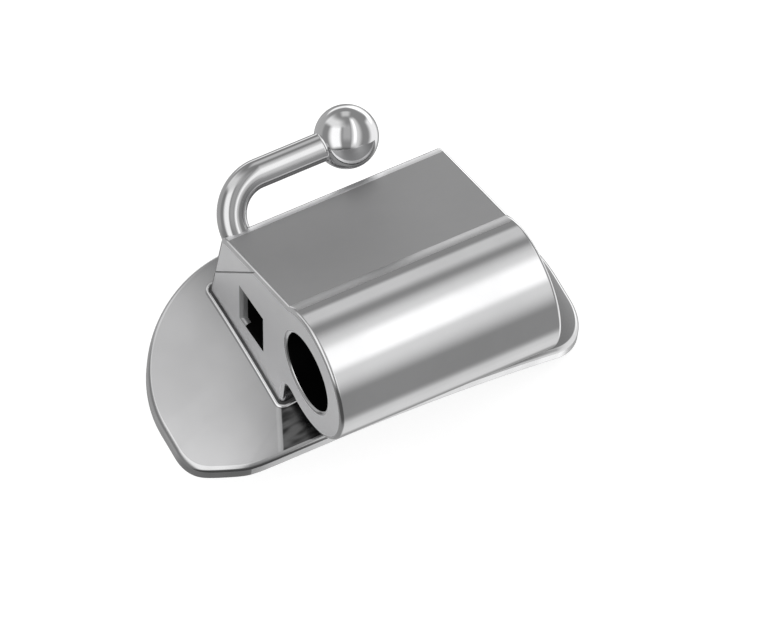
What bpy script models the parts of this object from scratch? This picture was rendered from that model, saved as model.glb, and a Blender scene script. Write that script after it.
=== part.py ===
"""Double buccal tube for a molar, in metres: +X distal, +Y gingival, +Z buccal (away from the tooth).

A curved bonding pad with a studded back carries a tube body. The body has a rectangular archwire
slot, a round headgear tube that overhangs the pad, and a corner notch for the root of a ball hook.
The origin is on the tip of the middle stud, in the centre of the bonding surface.

Sections are drawn in (o, z), where o runs occlusally from the pad's crest line, so y is -o.
"""

import math

import bmesh
import bpy
from mathutils import Vector

# Bonding pad
PAD_LENGTH = 0.00724
PAD_OCCLUSAL_REACH = 0.00210
PAD_GINGIVAL_REACH = 0.00172
PAD_OCCLUSAL_CORNER = 0.00099
PAD_OCCLUSAL_RADIUS = 0.0169
PAD_GINGIVAL_CORNER = 0.00213
PAD_LEAST_END = 0.00010
PAD_DISTAL_OFFSET = 0.00039
PAD_THICKNESS = 0.00025
PAD_RADIUS_ALONG = 0.0060
PAD_RADIUS_ACROSS = 0.0142
PAD_RIM_RADIUS = 0.00007
PAD_BACK_CHAMFER = 0.00003

# Retention studs on the pad's back
STUD_HEIGHT = 0.00010
STUD_TIP = 0.00024
STUD_NECK = 0.00017
STUD_PITCH = 0.00044
BORDER_WIDTH = 0.00024
BORDER_SLOPE = 0.00004

# Tube body
TUBE_LENGTH = 0.00398
TUBE_MESIAL_SETBACK = 0.00170
EDGE_CHAMFER = 0.00006
RIDGE_BLEND = 0.00004
RIDGE_HEIGHT = 0.00148
RIDGE_OFFSET = 0.00120
GINGIVAL_DRAFT = math.radians(5.3)
CREASE_ANGLE = math.radians(17.6)
WEB_OFFSET = 0.00058
WEB_FILLET = 0.00020

# Archwire slot, 0.022 by 0.028 inch, with a funnel at its mesial mouth
SLOT_WIDTH = 0.000559
SLOT_DEPTH = 0.000711
SLOT_OFFSET = 0.00011
SLOT_HEIGHT = 0.00069
SLOT_TORQUE = math.radians(8.7)
FUNNEL_LENGTH = 0.00030
FUNNEL_GINGIVAL = 0.00025
MOUTH_CHAMFER = 0.00005

# Round headgear tube, 0.051 inch bore
BORE_DIAMETER = 0.001295
BORE_WALL = 0.00050
BORE_SPACING = 0.00165
BORE_HEIGHT = 0.00154
BORE_CHAMFER = 0.00008

# Ball hook
ROD_DIAMETER = 0.00048
BALL_DIAMETER = 0.00104
HOOK_LEAN = math.radians(35.4)
HOOK_BEND = 0.00069
HOOK_REACH = 0.00260
HOOK_OFFSET = 0.000175
HOOK_INSET = 0.00007
ROOT_DEPTH = 0.00060
ROOT_MARGIN = 0.00004
ROD_SEAT = 0.00038

# Fits and cutters
BRAZE_GAP = 0.00002
CUT_MARGIN = 0.0010

# Facets
CORNER_STEPS = 14
EDGE_STEPS = 8
RIM_STEPS = 4
RIDGE_STEPS = 4
FILLET_STEPS = 6
TUBE_STEPS = 60
BORE_SIDES = 64
ROD_SIDES = 28
BALL_SIDES = 40
SEAT_STEPS = (36, 20)

# Worked out from the sizes above
BORE_RADIUS = BORE_DIAMETER / 2
TUBE_RADIUS = BORE_RADIUS + BORE_WALL
ROD_RADIUS = ROD_DIAMETER / 2
PAD_FAR_END = PAD_LENGTH / 2 + PAD_DISTAL_OFFSET
PAD_MIDDLE = Vector((PAD_DISTAL_OFFSET, (PAD_OCCLUSAL_REACH - PAD_GINGIVAL_REACH) / 2))
PAD_EDGE_CENTRE = Vector((PAD_DISTAL_OFFSET, PAD_OCCLUSAL_REACH - PAD_OCCLUSAL_RADIUS))
PAD_EDGE_INNER = PAD_OCCLUSAL_RADIUS - PAD_OCCLUSAL_CORNER
PAD_EDGE_TURN = math.asin((PAD_LENGTH / 2 - PAD_OCCLUSAL_CORNER) / PAD_EDGE_INNER)
MESIAL_X = PAD_DISTAL_OFFSET - PAD_LENGTH / 2 + TUBE_MESIAL_SETBACK
DISTAL_X = MESIAL_X + TUBE_LENGTH
SLOT_CENTRE = Vector((SLOT_OFFSET, PAD_THICKNESS + SLOT_HEIGHT))
BORE_CENTRE = Vector((SLOT_OFFSET + BORE_SPACING, PAD_THICKNESS + BORE_HEIGHT))
RIDGE = Vector((SLOT_OFFSET - RIDGE_OFFSET, PAD_THICKNESS + RIDGE_HEIGHT))
HOOK_AXIS = Vector((-math.cos(HOOK_LEAN), math.sin(HOOK_LEAN)))
HOOK_SIDE = Vector((math.sin(HOOK_LEAN), math.cos(HOOK_LEAN)))


def place(x, section):
    """The point of the part at x whose section coordinates are (o, z)."""
    return Vector((x, -section[0], section[1]))


def arc(centre, radius, start, end, steps):
    """Section points on an arc, from the start angle to the end angle."""
    angles = [start + (end - start) * i / steps for i in range(steps + 1)]
    return [centre + radius * Vector((math.cos(a), math.sin(a))) for a in angles]


def dome(x, o):
    """How far the pad's curved surfaces fall towards the tooth at (x, o)."""
    return -x * x / (2 * PAD_RADIUS_ALONG) - o * o / (2 * PAD_RADIUS_ACROSS)


def steel(name, colour, roughness):
    """A polished metal material."""
    material = bpy.data.materials.new(name)
    material.use_nodes = True
    shader = material.node_tree.nodes["Principled BSDF"]
    shader.inputs["Base Color"].default_value = (*colour, 1.0)
    shader.inputs["Metallic"].default_value = 1.0
    shader.inputs["Roughness"].default_value = roughness
    return material


def add_object(name, bm, material=None):
    """Turns a bmesh into an object. One with no material is a helper that never renders."""
    bmesh.ops.recalc_face_normals(bm, faces=bm.faces)
    mesh = bpy.data.meshes.new(name)
    bm.to_mesh(mesh)
    bm.free()
    mesh.shade_smooth()
    mesh.set_sharp_from_angle(angle=math.radians(28))
    thing = bpy.data.objects.new(name, mesh)
    bpy.context.collection.objects.link(thing)
    if material:
        mesh.materials.append(material)
    else:
        thing.hide_render = True
        thing.display_type = "WIRE"
    return thing


def loft(rings, bm=None):
    """A closed skin through rings of equally many points, with one face over each end."""
    bm = bm or bmesh.new()
    loops = [[bm.verts.new(point) for point in ring] for ring in rings]
    for low, high in zip(loops, loops[1:]):
        for i in range(len(low)):
            bm.faces.new((low[i - 1], low[i], high[i], high[i - 1]))
    bm.faces.new(loops[0])
    bm.faces.new(loops[-1])
    return bm


def combine(thing, operation, helper):
    """Adds a Boolean with a helper object."""
    modifier = thing.modifiers.new(helper.name, "BOOLEAN")
    modifier.operation = operation
    modifier.solver = "EXACT"
    modifier.object = helper


def pad_corner(side):
    """The radius of the pad's corners on its occlusal (1) or gingival (-1) side, and their centres' o.

    The occlusal corners run into the rounded occlusal edge. The larger gingival corners give way
    where the pad's ends have no room for both.
    """
    occlusal_o = PAD_EDGE_CENTRE.y + PAD_EDGE_INNER * math.cos(PAD_EDGE_TURN)
    if side > 0:
        return PAD_OCCLUSAL_CORNER, occlusal_o
    radius = min(PAD_GINGIVAL_CORNER, PAD_GINGIVAL_REACH + occlusal_o - PAD_LEAST_END)
    return radius, radius - PAD_GINGIVAL_REACH


def pad_half_width(o, inset):
    """Half of the pad's length at o, measured inside its outline by inset."""
    reach = max((PAD_OCCLUSAL_RADIUS - inset) ** 2 - (o - PAD_EDGE_CENTRE.y) ** 2, 0.0)
    halves = [math.sqrt(reach)]
    for side in (1, -1):
        radius, centre_o = pad_corner(side)
        beyond = max(side * (o - centre_o), 0.0)
        reach = max((radius - inset) ** 2 - beyond ** 2, 0.0)
        halves.append(PAD_LENGTH / 2 - radius + math.sqrt(reach))
    return min(halves)


def corner_arc(side_x, side_o, inset, start, end):
    """One corner of the pad's outline in (x, o), from the start angle to the end angle."""
    radius, centre_o = pad_corner(side_o)
    centre = Vector((PAD_DISTAL_OFFSET + side_x * (PAD_LENGTH / 2 - radius), centre_o))
    return arc(centre, radius - inset, start, end, CORNER_STEPS)


def pad_outline(inset):
    """The pad's outline in (x, o): four corners, a rounded occlusal edge and a straight gingival one."""
    quarter = math.pi / 2
    edge_turns = (quarter - PAD_EDGE_TURN, quarter + PAD_EDGE_TURN)
    outline = corner_arc(1, -1, inset, -quarter, 0.0)
    outline += corner_arc(1, 1, inset, 0.0, edge_turns[0])
    outline += arc(PAD_EDGE_CENTRE, PAD_OCCLUSAL_RADIUS - inset, *edge_turns, EDGE_STEPS)[1:-1]
    outline += corner_arc(-1, 1, inset, edge_turns[1], math.pi)
    outline += corner_arc(-1, -1, inset, math.pi, 3 * quarter)
    begin, end = outline[-1], outline[0]
    outline += [begin.lerp(end, i / EDGE_STEPS) for i in range(1, EDGE_STEPS)]
    return outline


def pad_ring(inset, level, share=1.0):
    """One ring of the pad's skin, shrunk to a share of its size and bent onto the dome."""
    points = [PAD_MIDDLE + share * (point - PAD_MIDDLE) for point in pad_outline(inset)]
    return [place(x, (o, level + dome(x, o))) for x, o in points]


def pad_skin():
    """The pad: a studded pocket inside a border on its back, a rounded rim, and a smooth front."""
    shares = [0.12, 0.34, 0.56, 0.78]
    floor_inset = BORDER_WIDTH + BORDER_SLOPE
    rings = [pad_ring(floor_inset, STUD_HEIGHT, share) for share in shares]
    rings.append(pad_ring(floor_inset, STUD_HEIGHT))
    rings.append(pad_ring(BORDER_WIDTH, 0.0))
    rings.append(pad_ring(PAD_BACK_CHAMFER, 0.0))
    rings.append(pad_ring(0.0, PAD_BACK_CHAMFER))
    shoulder = Vector((PAD_RIM_RADIUS, PAD_THICKNESS - PAD_RIM_RADIUS))
    for inset, level in arc(shoulder, PAD_RIM_RADIUS, math.pi, math.pi / 2, RIM_STEPS):
        rings.append(pad_ring(inset, level))
    rings += [pad_ring(PAD_RIM_RADIUS, PAD_THICKNESS, share) for share in reversed(shares)]
    return loft(rings)


def stud_rows():
    """The centre of each stud: a square grid on the middle stud, as far as the border lets it."""
    half = STUD_TIP / 2
    inset = BORDER_WIDTH + BORDER_SLOPE + half
    rows_each_way = int((PAD_GINGIVAL_REACH + PAD_OCCLUSAL_REACH) / STUD_PITCH)
    for row in range(-rows_each_way, rows_each_way + 1):
        o = row * STUD_PITCH
        if not -PAD_GINGIVAL_REACH + inset < o < PAD_OCCLUSAL_REACH - inset:
            continue
        room = min(pad_half_width(o - half, inset), pad_half_width(o + half, inset))
        columns_each_way = int((room + PAD_DISTAL_OFFSET) / STUD_PITCH)
        for column in range(-columns_each_way, columns_each_way + 1):
            x = column * STUD_PITCH
            if abs(x - PAD_DISTAL_OFFSET) < room:
                yield x, o


def square(x, o, side, level):
    """Four corners of a stud's section, with each corner at its level over the dome."""
    half = side / 2
    corners = ((x - half, o - half), (x + half, o - half), (x + half, o + half), (x - half, o + half))
    return [place(a, (b, level + dome(a, b))) for a, b in corners]


def make_pad(material):
    """The bonding pad with its undercut studs, which widen towards the tooth."""
    pad = add_object("base_pad", pad_skin(), material)
    root_level = (STUD_HEIGHT + PAD_THICKNESS) / 2
    studs = bmesh.new()
    for x, o in stud_rows():
        neck = square(x, o, STUD_NECK, STUD_HEIGHT)
        loft([square(x, o, STUD_NECK, root_level), neck, square(x, o, STUD_TIP, 0.0)], studs)
    combine(pad, "UNION", add_object("pad_studs", studs))
    return pad


def ramp_slope():
    """Slope of the flat ramp, which runs from the ridge to a crease on the round tube."""
    run = BORE_CENTRE - RIDGE
    return math.atan2(run.y, run.x) + math.asin(TUBE_RADIUS * math.cos(CREASE_ANGLE) / run.length)


def body_outline(inset):
    """The body's section, drawn inside its true outline by inset.

    It goes up the drafted gingival wall, round the ridge, up the ramp to the crease, round the
    headgear tube to the web fillet under it, and down the occlusal wall.
    """
    slope = ramp_slope()
    wall_in = Vector((math.cos(GINGIVAL_DRAFT), -math.sin(GINGIVAL_DRAFT)))
    ramp_in = Vector((math.sin(slope), -math.cos(slope)))
    ridge_radius = EDGE_CHAMFER + RIDGE_BLEND
    ridge_centre = RIDGE + ridge_radius * (wall_in + ramp_in) / (1 + wall_in.dot(ramp_in))
    ridge_turn = (math.pi - GINGIVAL_DRAFT, math.pi / 2 + slope)
    ridge = arc(ridge_centre, ridge_radius - inset, *ridge_turn, RIDGE_STEPS)

    radius = TUBE_RADIUS - inset
    ramp_distance = TUBE_RADIUS * math.cos(CREASE_ANGLE) - inset
    crease = math.pi / 2 + slope + math.acos(ramp_distance / radius)
    wall_o = BORE_CENTRE.x - WEB_OFFSET
    side = wall_o + WEB_FILLET - BORE_CENTRE.x
    drop = math.sqrt((TUBE_RADIUS + WEB_FILLET) ** 2 - side ** 2)
    fillet_centre = BORE_CENTRE + Vector((side, -drop))
    fillet_turn = math.atan2(-drop, side)
    tube = arc(BORE_CENTRE, radius, crease, fillet_turn, TUBE_STEPS)
    fillet = arc(fillet_centre, WEB_FILLET + inset, fillet_turn + math.pi, math.pi, FILLET_STEPS)

    foot = foot_level()
    wall_top = ridge[0]
    gingival_foot = Vector((wall_top.x - (wall_top.y - foot) * math.tan(GINGIVAL_DRAFT), foot))
    occlusal_foot = Vector((wall_o - inset, foot))
    return [gingival_foot] + ridge + tube + fillet + [occlusal_foot]


def foot_level():
    """A level under the whole pad surface, where the body is drawn to before its seat is cut."""
    return PAD_THICKNESS + dome(PAD_FAR_END, PAD_OCCLUSAL_REACH) - CUT_MARGIN


def body_prism():
    """The body's section carried from the mesial to the distal face, with chamfered edges."""
    stations = (
        (MESIAL_X, EDGE_CHAMFER),
        (MESIAL_X + EDGE_CHAMFER, 0.0),
        (DISTAL_X - EDGE_CHAMFER, 0.0),
        (DISTAL_X, EDGE_CHAMFER),
    )
    return loft([[place(x, point) for point in body_outline(inset)] for x, inset in stations])


def seat_block():
    """Everything under the pad's front surface and the braze gap on it."""
    half_along = PAD_FAR_END + CUT_MARGIN
    half_across = PAD_OCCLUSAL_REACH + PAD_GINGIVAL_REACH
    bm = bmesh.new()
    bmesh.ops.create_grid(bm, x_segments=SEAT_STEPS[0], y_segments=SEAT_STEPS[1], size=1.0)
    for vert in bm.verts:
        x, y = vert.co.x * half_along, vert.co.y * half_across
        vert.co = Vector((x, y, PAD_THICKNESS + BRAZE_GAP + dome(x, y)))
    walls = bmesh.ops.extrude_face_region(bm, geom=bm.faces[:])
    for item in walls["geom"]:
        if isinstance(item, bmesh.types.BMVert):
            item.co.z = foot_level() - CUT_MARGIN
    return bm


def slot_section(x, gingival, other):
    """The slot's four corners at x, opened by a flare on the gingival side and on the others."""
    across = Vector((math.cos(SLOT_TORQUE), math.sin(SLOT_TORQUE)))
    up = Vector((-math.sin(SLOT_TORQUE), math.cos(SLOT_TORQUE)))
    half_width, half_depth = SLOT_WIDTH / 2, SLOT_DEPTH / 2
    near, far = -half_width - gingival, half_width + other
    corners = ((near, -half_depth), (far, -half_depth), (far, half_depth), (near, half_depth))
    return [
        place(x, SLOT_CENTRE + a * across + (b + math.copysign(other, b)) * up) for a, b in corners
    ]


def slot_cutter():
    """The archwire slot right through the body, with its mesial funnel and distal chamfer."""
    beyond = 1 + CUT_MARGIN / FUNNEL_LENGTH
    return loft([
        slot_section(MESIAL_X - CUT_MARGIN, FUNNEL_GINGIVAL * beyond, MOUTH_CHAMFER * beyond),
        slot_section(MESIAL_X + FUNNEL_LENGTH, 0.0, 0.0),
        slot_section(DISTAL_X - MOUTH_CHAMFER, 0.0, 0.0),
        slot_section(DISTAL_X + MOUTH_CHAMFER, 2 * MOUTH_CHAMFER, 2 * MOUTH_CHAMFER),
    ])


def bore_cutter():
    """The round bore right through the body, chamfered at both mouths."""
    stations = (
        (MESIAL_X - BORE_CHAMFER, BORE_RADIUS + 2 * BORE_CHAMFER),
        (MESIAL_X + BORE_CHAMFER, BORE_RADIUS),
        (DISTAL_X - BORE_CHAMFER, BORE_RADIUS),
        (DISTAL_X + BORE_CHAMFER, BORE_RADIUS + 2 * BORE_CHAMFER),
    )
    rings = []
    for x, radius in stations:
        circle = arc(BORE_CENTRE, radius, 0.0, 2 * math.pi, BORE_SIDES)[:-1]
        rings.append([place(x, point) for point in circle])
    return loft(rings)


def root_block(growth):
    """The corner of the body that the hook's root fills, made larger on its seats by growth."""
    depth = ROOT_DEPTH + growth
    distal = MESIAL_X + HOOK_INSET + ROD_DIAMETER + ROOT_MARGIN + growth
    outside = TUBE_RADIUS + CUT_MARGIN
    corners = ((-depth, -outside), (-depth, outside), (outside, outside), (outside, -outside))
    section = [RIDGE + a * HOOK_AXIS + b * HOOK_SIDE for a, b in corners]
    return loft([[place(x, point) for point in section] for x in (MESIAL_X - CUT_MARGIN, distal)])


def make_body(material):
    """The tube body, seated on the pad, with its slot, its bore and the hook's notch."""
    body = add_object("tube_body", body_prism(), material)
    combine(body, "DIFFERENCE", add_object("seat_cutter", seat_block()))
    combine(body, "DIFFERENCE", add_object("slot_cutter", slot_cutter()))
    combine(body, "DIFFERENCE", add_object("bore_cutter", bore_cutter()))
    combine(body, "DIFFERENCE", add_object("notch_cutter", root_block(BRAZE_GAP)))
    return body


def hook_path():
    """Centres and directions of the rod: out along the hook's axis, round a bend, then distally."""
    start = RIDGE - HOOK_OFFSET * HOOK_SIDE
    rod_x = MESIAL_X + HOOK_INSET + ROD_RADIUS
    out = place(0.0, HOOK_AXIS)
    base = place(rod_x, start)
    path = [(base - ROD_SEAT * out, out)]
    for i in range(CORNER_STEPS + 1):
        turn = math.pi / 2 * i / CORNER_STEPS
        shift = HOOK_BEND * (1 - math.cos(turn))
        centre = base + HOOK_BEND * math.sin(turn) * out + Vector((shift, 0, 0))
        path.append((centre, math.cos(turn) * out + Vector((math.sin(turn), 0, 0))))
    ball = path[-1][0].copy()
    ball.x = MESIAL_X + HOOK_REACH
    path.append((ball, Vector((1, 0, 0))))
    return path


def rod_skin():
    """The hook's bent rod, from inside its root to the centre of its ball."""
    side = place(0.0, HOOK_SIDE)
    rings = []
    for centre, direction in hook_path():
        up = side.cross(direction)
        circle = arc(Vector((0, 0)), ROD_RADIUS, 0.0, 2 * math.pi, ROD_SIDES)[:-1]
        rings.append([centre + a * side + b * up for a, b in circle])
    return loft(rings)


def ball_skin():
    """The ball on the end of the hook."""
    bm = bmesh.new()
    bmesh.ops.create_uvsphere(
        bm, u_segments=BALL_SIDES, v_segments=BALL_SIDES // 2, radius=BALL_DIAMETER / 2
    )
    bmesh.ops.translate(bm, verts=bm.verts[:], vec=hook_path()[-1][0])
    return bm


def make_hook(material):
    """The ball hook: a root wedge that completes the body's corner, a bent rod and a ball."""
    hook = add_object("ball_hook", body_prism(), material)
    combine(hook, "INTERSECT", add_object("root_trimmer", root_block(0.0)))
    combine(hook, "UNION", add_object("hook_rod", rod_skin()))
    combine(hook, "UNION", add_object("hook_ball", ball_skin()))
    return hook


def main():
    for thing in list(bpy.data.objects):
        bpy.data.objects.remove(thing, do_unlink=True)
    make_pad(steel("pad_steel", (0.66, 0.66, 0.67), 0.28))
    make_body(steel("body_steel", (0.60, 0.60, 0.61), 0.22))
    make_hook(steel("hook_steel", (0.66, 0.66, 0.67), 0.12))


main()
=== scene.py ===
"""Looks of a double molar buccal tube: polished steel on a curved bonding pad, in a white studio.

Shapes are drawn in millimetres and put into their meshes in metres. The part's own frame is used:
+X distal, +Y gingival, +Z buccal. Sections are drawn in (o, z), where o runs occlusally, so y is -o.
"""

import bmesh
import bpy
import numpy as np
from mathutils import Matrix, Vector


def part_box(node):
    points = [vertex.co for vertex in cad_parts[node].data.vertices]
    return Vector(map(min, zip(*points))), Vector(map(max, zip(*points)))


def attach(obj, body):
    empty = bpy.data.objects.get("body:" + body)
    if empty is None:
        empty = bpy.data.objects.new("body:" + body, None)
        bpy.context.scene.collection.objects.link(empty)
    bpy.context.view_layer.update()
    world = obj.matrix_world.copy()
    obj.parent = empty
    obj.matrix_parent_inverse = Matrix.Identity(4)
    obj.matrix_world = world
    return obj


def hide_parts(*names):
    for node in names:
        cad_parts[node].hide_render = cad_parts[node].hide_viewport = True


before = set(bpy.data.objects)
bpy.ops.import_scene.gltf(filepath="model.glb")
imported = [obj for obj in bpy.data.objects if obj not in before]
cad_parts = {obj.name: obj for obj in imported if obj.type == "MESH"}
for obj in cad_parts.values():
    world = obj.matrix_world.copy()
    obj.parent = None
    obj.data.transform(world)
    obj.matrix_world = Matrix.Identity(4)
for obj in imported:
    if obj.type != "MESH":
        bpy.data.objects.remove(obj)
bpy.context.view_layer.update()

METRES = 0.001
BODY_LOW, BODY_HIGH = (np.array(corner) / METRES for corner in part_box("tube_body"))
PAD_LOW, PAD_HIGH = (np.array(corner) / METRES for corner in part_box("base_pad"))

# Bonding pad
PAD_MIDDLE_X = (PAD_LOW[0] + PAD_HIGH[0]) / 2
PAD_HALF_LENGTH = (PAD_HIGH[0] - PAD_LOW[0]) / 2
PAD_OCCLUSAL_REACH = -PAD_LOW[1]
PAD_GINGIVAL_REACH = PAD_HIGH[1]
PAD_THICKNESS = PAD_HIGH[2]
PAD_OCCLUSAL_CORNER = 0.99
PAD_OCCLUSAL_RADIUS = 16.9
PAD_GINGIVAL_CORNER = 2.13
PAD_FLAT_CUT = 0.072
PAD_FLAT_TURN = np.radians(123.3)
PAD_FLAT_ROUND = 0.09
PAD_RADIUS_ALONG = 6.0
PAD_RADIUS_ACROSS = 14.2
PAD_RIM_ROUND = 0.07
PAD_BACK_ROUND = 0.03
BORDER_WIDTH = 0.24
BORDER_SLOPE = 0.04

# Arc of the pad's occlusal edge, and the o of the corner centres it runs into
PAD_EDGE_O = PAD_OCCLUSAL_REACH - PAD_OCCLUSAL_RADIUS
PAD_EDGE_INNER = PAD_OCCLUSAL_RADIUS - PAD_OCCLUSAL_CORNER
PAD_EDGE_TURN = np.arcsin((PAD_HALF_LENGTH - PAD_OCCLUSAL_CORNER) / PAD_EDGE_INNER)
OCCLUSAL_CORNER_O = PAD_EDGE_O + PAD_EDGE_INNER * np.cos(PAD_EDGE_TURN)
GINGIVAL_CORNER_O = PAD_GINGIVAL_CORNER - PAD_GINGIVAL_REACH

# Retention studs
STUD_HEIGHT = 0.10
STUD_TIP = 0.24
STUD_NECK = 0.17
STUD_PITCH = 0.44
STUD_CORNER = 0.03
STUD_TIP_ROUND = 0.012

# Tube body
MESIAL_X, DISTAL_X = BODY_LOW[0], BODY_HIGH[0]
EDGE_ROUND = 0.065
RIDGE_ROUND = 0.08
RIDGE_BEVEL = 0.19
BEVEL_TILT = np.radians(12.0)
RIDGE = np.array([-1.09, 1.73])
GINGIVAL_DRAFT = np.radians(5.3)
CREASE_ANGLE = np.radians(17.6)
WEB_OFFSET = 0.58
WEB_FILLET = 0.20

# Archwire slot and round headgear tube
SLOT_CENTRE = np.array([0.11, 0.94])
SLOT_WIDTH = 0.559
SLOT_DEPTH = 0.711
SLOT_TORQUE = np.radians(8.7)
SLOT_MOUTH_ROUND = 0.05
FUNNEL_LENGTH = 0.30
FUNNEL_GINGIVAL = 0.14
FUNNEL_POLISHED = 0.10
FUNNEL_INNER = 0.02
BORE_CENTRE = np.array([1.76, 1.79])
BORE_RADIUS = 1.295 / 2
BORE_WALL = 0.50
TUBE_RADIUS = BORE_RADIUS + BORE_WALL
BORE_MOUTH = 0.08

# Ball hook
ROD_RADIUS = 0.24
BALL_RADIUS = 0.52
BALL_FILLET = 0.05
HOOK_LEAN = np.radians(35.4)
HOOK_BEND = 0.69
HOOK_REACH = 2.60
HOOK_OFFSET = 0.175
HOOK_INSET = 0.07
ROOT_DEPTH = 0.60
ROOT_MARGIN = 0.04
ROD_SEAT = 0.38
SEAM_WIDTH = 0.030
SEAM_DEPTH = 0.020
HOOK_AXIS = np.array([-np.cos(HOOK_LEAN), np.sin(HOOK_LEAN)])
HOOK_SIDE = np.array([np.sin(HOOK_LEAN), np.cos(HOOK_LEAN)])

# Foot of the body: a dark line of painted shade at the joint, and the thin braze bead outside it
JOINT_WIDTH = 0.036
JOINT_RISE = 0.012
BEAD_RADIUS = 0.032
BEAD_SUNK = 0.05

# Painted shade: a dark patch on the pad, in the mesial mouth of the crevice under the round tube. The
# stops are distances inwards from its slanting border, at which it and its pale line of painted highlight
# come and go.
PATCH_START = -1.02
PATCH_SLANT = 0.45
PATCH_OCCLUSAL = 1.20
PATCH_OCCLUSAL_FADE = 0.04
CREVICE_SHADE_STOPS = (0.0, 0.03, 0.7, 1.4)
CREVICE_SHADE_DARKNESS = (0.93, 0.66)
CREVICE_HIGHLIGHT_STOPS = (-0.09, -0.06, -0.04, 0.0)
CREVICE_HIGHLIGHT_GAIN = 0.15

# Grain of the polish: noise scales in cycles a metre, and the hairlines' depth in metres
CLOUD_SCALE = 900.0
HAIRLINE_SCALE = 9000.0
HAIRLINE_DEPTH = 4e-8

# Steel is this much bluer than it is red, and the near-black painted shade's roughness runs between these
# two
COOL_TINT = 1.008
SHADE_GLOSS = (0.6, 0.8)

# How far a cutter reaches past what it cuts, and how deep the body sinks into the pad
PAST = 1.0
SUNK = 0.03

# How finely the curves are drawn: steps along each arc, circle or straight
RIDGE_STEPS = 12
CREASE_STEPS = 9
TUBE_STEPS = 168
FILLET_STEPS = 16
EDGE_STEPS = 9
MOUTH_STEPS = 9
BORE_STEPS = 160
BEND_STEPS = 48
ROD_STEPS = 96
BALL_STEPS = 72
BALL_FILLET_STEPS = 10
CORNER_STEPS = 40
GINGIVAL_EDGE_STEPS = 25
PAD_FACE_STEPS = 24
RIM_STEPS = 8
SEAT_POINTS = (97, 49)
FOOT_CORNER_STEPS = 8
FOOT_SIDE_STEPS = 59
BEAD_STEPS = 8

# Edges sharper than this many degrees stay sharp
BODY_SHARP = 14
PAD_SHARP = 35
STUD_SHARP = 40
BEAD_SHARP = 50

# Places in the body's list of steels
WALL, RAMP, WORN, WEB, END, CREASE, BEVEL = range(7)

# Places in the pad's list of steels
FRONT, ETCHED, SIDE, RIM, BRIGHT_SIDE = range(5)

# Camera at the photograph's angle, with a long lens
CAMERA_AZIMUTH = np.radians(-34.97)
CAMERA_ELEVATION = np.radians(57.68)
CAMERA_ROLL = np.radians(7.75)
CAMERA_TARGET = np.array([0.636, -0.432, -0.034])
CAMERA_LENS = 600.0
CAMERA_SENSOR = 36.0
PICTURE_WIDTH = 12.07

# Studio: its even light, how much of it is left low in front, and the floor under the object
STUDIO_LIGHT = 0.36
LOW_SHARE = 0.3
FLOOR_REACH = 120.0
FLOOR_TONE = 0.45
FLOOR_GLOW = 0.80

# Soft boxes: a strength, then the stops of a smooth window on each direction that bounds the box.
# Azimuths are in degrees, the other directions run from -1 to 1, and open stops lie past the end.
OPEN = (2, 3)
SOFT_BOXES = (
    (0.65, ("azimuth", 15, 24, 42, 64), ("up", -0.80, -0.50, 0.85, 0.97)),
    (0.65, ("azimuth", 24, 28.5, 36, 41), ("up", -0.60, -0.25, 0.80, 0.95)),
    (1.25, ("azimuth", -74, -49, -28, -14), ("up", -0.75, -0.50, 0.42, 0.63)),
    (
        0.80,
        ("right", -0.95, -0.75, -0.50, 0.06),
        ("up", 0.45, 0.62, 0.74, 0.95),
        ("front", -0.3, -0.05, *OPEN),
    ),
    (0.25, ("azimuth", -20, -5, 10, 22), ("up", -0.45, 0.0, 0.5, 0.8)),
    (
        0.50,
        ("front", -0.25, -0.10, 0.10, 0.38),
        ("right", -0.30, -0.12, 0.03, 0.22),
        ("up", 0.86, 0.96, *OPEN),
    ),
    (0.95, ("azimuth", 82, 106, 135, 160), ("up", -0.70, -0.40, 0.54, 0.70)),
    (0.55, ("azimuth", 110, 138, 162, 180), ("up", -0.86, -0.70, -0.50, -0.25)),
    (1.05, ("front", -0.88, -0.78, -0.62, -0.48), ("up", 0.58, 0.68, 0.80, 0.90)),
    (
        0.90,
        ("right", -0.05, 0.20, 0.90, 1.10),
        ("up", 0.35, 0.50, 0.80, 0.90),
        ("front", -0.95, -0.85, -0.55, -0.35),
    ),
    (0.22, ("azimuth", -172, -150, -104, -88), ("up", -0.45, -0.15, 0.6, 0.85)),
)


def turned(angles):
    """Unit vectors at the angles, which run from the first axis to the second."""
    return np.stack([np.cos(angles), np.sin(angles)], axis=-1)


def arc(centre, radius, start, end, steps):
    """Points at equal angles on a circle: the centre plus the radius times the cosine and sine."""
    return centre + radius * turned(np.linspace(start, end, steps + 1))


def dome(x, o):
    """The pad's curve: a fall from its crest that grows with the square of x and the square of o."""
    return -x * x / (2 * PAD_RADIUS_ALONG) - o * o / (2 * PAD_RADIUS_ACROSS)


def place(x, section):
    """Points of the part at x whose section coordinates are (o, z)."""
    section = np.asarray(section)
    along = np.broadcast_to(x, section.shape[:-1])
    return np.stack([along, -section[..., 0], section[..., 1]], axis=-1)


def unit(vector):
    """The vector at length one."""
    return vector / np.linalg.norm(vector, axis=-1, keepdims=True)


def add_object(name, points, faces, materials=(), face_materials=None):
    """Makes an object from points in millimetres and a list of faces, turned to face outwards."""
    mesh = bpy.data.meshes.new(name)
    mesh.from_pydata((np.asarray(points) * METRES).tolist(), [], faces)
    bm = bmesh.new()
    bm.from_mesh(mesh)
    bmesh.ops.recalc_face_normals(bm, faces=bm.faces)
    bm.to_mesh(mesh)
    bm.free()
    thing = bpy.data.objects.new(name, mesh)
    bpy.context.scene.collection.objects.link(thing)
    for material in materials:
        mesh.materials.append(material)
    if face_materials is not None:
        mesh.polygons.foreach_set("material_index", np.asarray(face_materials, np.int32))
    return thing


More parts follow.
